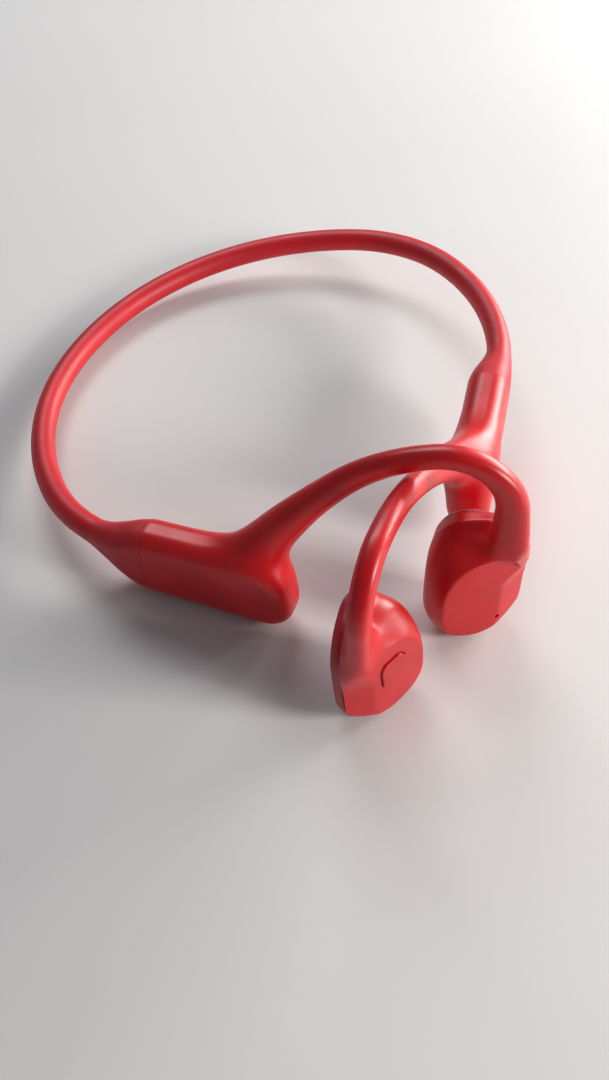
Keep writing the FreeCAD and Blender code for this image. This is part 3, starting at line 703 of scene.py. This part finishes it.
SKIN = soft_touch("skin_red", (0.60, 0.0015, 0.006), 0.36)
BAND_RED = soft_touch("band_red", (0.56, 0.003, 0.012), 0.48)
PAD_RED = soft_touch("pad_red", (0.38, 0.003, 0.022), 0.46)
BUTTON_RED = soft_touch("button_red", (0.58, 0.002, 0.009), 0.4)
STUFF = {
    "silicone_red": BAND_RED,
    "silicone_boot": BAND_RED,
    "coated_shell": SKIN,
    "pad_red": PAD_RED,
    "button_red": BUTTON_RED,
    "spring_wire": solid_stuff("titanium_wire", (0.55, 0.54, 0.52), 0.32, 1.0),
    "cable_black": solid_stuff("cable_black", (0.02, 0.02, 0.02), 0.5),
    "gasket": solid_stuff("gasket_rubber", (0.03, 0.03, 0.03), 0.6),
    "screws": solid_stuff("black_steel", (0.08, 0.08, 0.085), 0.35, 1.0),
    "soft_iron": solid_stuff("soft_iron", (0.5, 0.5, 0.52), 0.3, 1.0),
    "magnet_plate": solid_stuff("magnet_plate", (0.7, 0.7, 0.72), 0.18, 1.0),
    "copper": solid_stuff("copper_winding", (0.7, 0.3, 0.13), 0.3, 1.0, scale=2500.0),
    "spring_steel": solid_stuff("spring_steel", (0.6, 0.6, 0.62), 0.25, 1.0),
    "circuit_board": solid_stuff("solder_mask", (0.01, 0.12, 0.05), 0.35),
    "black_plastic": solid_stuff("black_plastic", (0.02, 0.02, 0.022), 0.4),
    "metal_can": solid_stuff("metal_can", (0.65, 0.65, 0.67), 0.28, 1.0),
    "battery_foil": solid_stuff("battery_foil", (0.6, 0.6, 0.62), 0.35, 1.0, scale=400.0),
    "foam": solid_stuff("foam", (0.05, 0.05, 0.05), 0.9, height=0.0001),
    "gold": solid_stuff("gold_contact", (0.8, 0.55, 0.2), 0.22, 1.0),
    "light_pipe": solid_stuff("light_pipe", (0.75, 0.74, 0.7), 0.3),
}
for subpart in frame["record"]["subparts"]:
    node = frame["nodes"][subpart["node"]]
    node.data.materials.clear()
    node.data.materials.append(STUFF[subpart["material_slot"]])


# ---- pieces ----
left_rings, right_rings = band_rings("left"), band_rings("right")
band_vertices, band_faces = loft(left_rings[::-1] + right_rings[1:])
make_piece("neckband_cover", band_vertices, band_faces, "headset", BAND_RED,
           ["neckband_sleeve", "left_boot", "right_boot"])

for arm in ("left", "right"):
    hook = Hook(arm)
    can = np.array(CAN_PLACE[arm])
    low = np.minimum([SEAM_A - 1, -POD_HALF_WIDTH - 1, -14], can - [11.5, 8, 15.5])
    low = np.minimum(low, hook.centre.min(0) - 5)
    high = np.maximum([POD_FRONT + 1, POD_HALF_WIDTH + 1, 10], can + [11.5, 9.5, 15.5])
    high = np.maximum(high, hook.centre.max(0) + 5)
    form_piece(arm + "_arm_skin", arm, arm_form(arm, hook), low, high, SKIN_STEP, "headset",
               SKIN,
               [arm + "_pod_outer_shell", arm + "_pod_inner_shell", arm + "_pod_gasket",
                arm + "_pod_screws", arm + "_hook_sleeve", arm + "_transducer_shell"])
    form_piece(arm + "_pad_skin", arm, lambda p: pad_form(p - can), can - [11, 9.5, 15.5],
               can + [11, -4.5, 15.5], PAD_STEP, arm + "_pad", PAD_RED,
               [arm + "_contact_pad"])


def button_form(p):
    """The multifunction button's cap, standing a little proud of the facet."""
    q = p - np.array(CAN_PLACE["left"])
    ahead, across = facet_axes(q)
    outline = polygon(across, q[:, 2], BUTTON_CORNERS) - BUTTON_ROUNDING
    form = both(outline, ahead - FACET_DISTANCE - BUTTON_PROUD, BUTTON_EDGE)
    return both(form, FACET_DISTANCE - BUTTON_ROOT - ahead, BACK_EDGE)


left_can = np.array(CAN_PLACE["left"])
form_piece("multifunction_button_skin", "left", button_form, left_can + [-4, -3, -7],
           left_can + [8, 9, 7], BUTTON_STEP, "multifunction_button", BUTTON_RED,
           ["multifunction_button"])


def volume_form(name):
    """A volume button's cap with its raised plus or minus."""
    button_a = VOLUME_BUTTON_A[name]
    bottom = pod_bottom(button_a)
    long, thin = SIGN_HALF

    def form(p):
        a, b, c = p.T
        outline = rounded_rectangle(a - button_a, b, *VOLUME_HALF, VOLUME_CORNER)
        cap = both(outline, bottom - VOLUME_PROUD - c, VOLUME_EDGE)
        cap = both(cap, c - bottom - VOLUME_ROOT, BACK_EDGE)
        bar = np.maximum(np.abs(a - button_a) - long, np.abs(b) - thin)
        if name == "volume_up_button":
            bar = np.minimum(bar, np.maximum(np.abs(a - button_a) - thin, np.abs(b) - long))
        sign = np.maximum(bar, bottom - VOLUME_PROUD - SIGN_PROUD - c)
        sign = np.maximum(sign, c - bottom)
        return np.minimum(cap, sign)

    return form, button_a, bottom


for name in VOLUME_BUTTON_A:
    form, button_a, bottom = volume_form(name)
    form_piece(name + "_skin", "right", form, (button_a - 3.4, -2, bottom - 0.8),
               (button_a + 3.4, 2, bottom + 1.4), VOLUME_STEP, name, BUTTON_RED,
               [name])


# ---- floor, light and camera ----
floor_material, nodes, links, shader = new_material("pale_floor")
varied(nodes, links, shader, (0.70, 0.69, 0.68), (0.73, 0.72, 0.71), 6.0)
shader.inputs["Roughness"].default_value = 0.6
floor_mesh = bpy.data.meshes.new("floor")
reach = 3.0
corners = [(-reach, -reach, 0), (reach, -reach, 0), (reach, reach, 0), (-reach, reach, 0)]
floor_mesh.from_pydata(corners, [], [(0, 1, 2, 3)])
floor_mesh.materials.append(floor_material)
floor = bpy.data.objects.new("floor", floor_mesh)
bpy.context.scene.collection.objects.link(floor)
floor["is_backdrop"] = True

world = bpy.data.worlds.new("studio")
world.use_nodes = True
world.node_tree.nodes["Background"].inputs["Color"].default_value = (0.9, 0.93, 1.0, 1.0)
world.node_tree.nodes["Background"].inputs["Strength"].default_value = 0.17
bpy.context.scene.world = world
bpy.context.scene.view_settings.view_transform = "Standard"


def softbox(name, place, aim, width, height, power, colour):
    """A rectangular soft light at a place, turned to its aim; metres and watts."""
    lamp = bpy.data.lights.new(name, "AREA")
    lamp.shape = "RECTANGLE"
    lamp.size, lamp.size_y = width, height
    lamp.energy = power
    lamp.color = colour
    holder = bpy.data.objects.new(name, lamp)
    holder.location = place
    holder.rotation_euler = (Vector(aim) - Vector(place)).to_track_quat("-Z", "Y").to_euler()
    bpy.context.scene.collection.objects.link(holder)


softbox("key", (0.36, -0.44, 0.26), (0.0, -0.04, 0.01), 0.16, 0.16, 2.6, (1.0, 0.97, 0.94))
softbox("window", (0.58, 0.06, 0.17), (0.0, -0.02, 0.03), 0.4, 0.16, 4.2, (1.0, 0.98, 0.95))
softbox("back", (0.16, 0.55, 0.60), (0.0, 0.0, 0.02), 0.4, 0.25, 2.4, (0.97, 0.98, 1.0))

camera = bpy.data.cameras.new("camera")
camera.sensor_fit = "VERTICAL"
camera.sensor_height = 36.0
camera.lens = 32.65
camera.clip_start = 0.01
holder = bpy.data.objects.new("camera", camera)
holder.location = (-0.0782, -0.14279, 0.1848)
holder.rotation_euler = Vector((0.28523, 0.51668, -0.80727)).to_track_quat("-Z", "Y").to_euler()
bpy.context.scene.collection.objects.link(holder)
bpy.context.scene.camera = holder

boxes = {"cad": cad_box, "visual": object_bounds()}
plain = {name: [list(map(float, corner)) for corner in box] for name, box in boxes.items()}
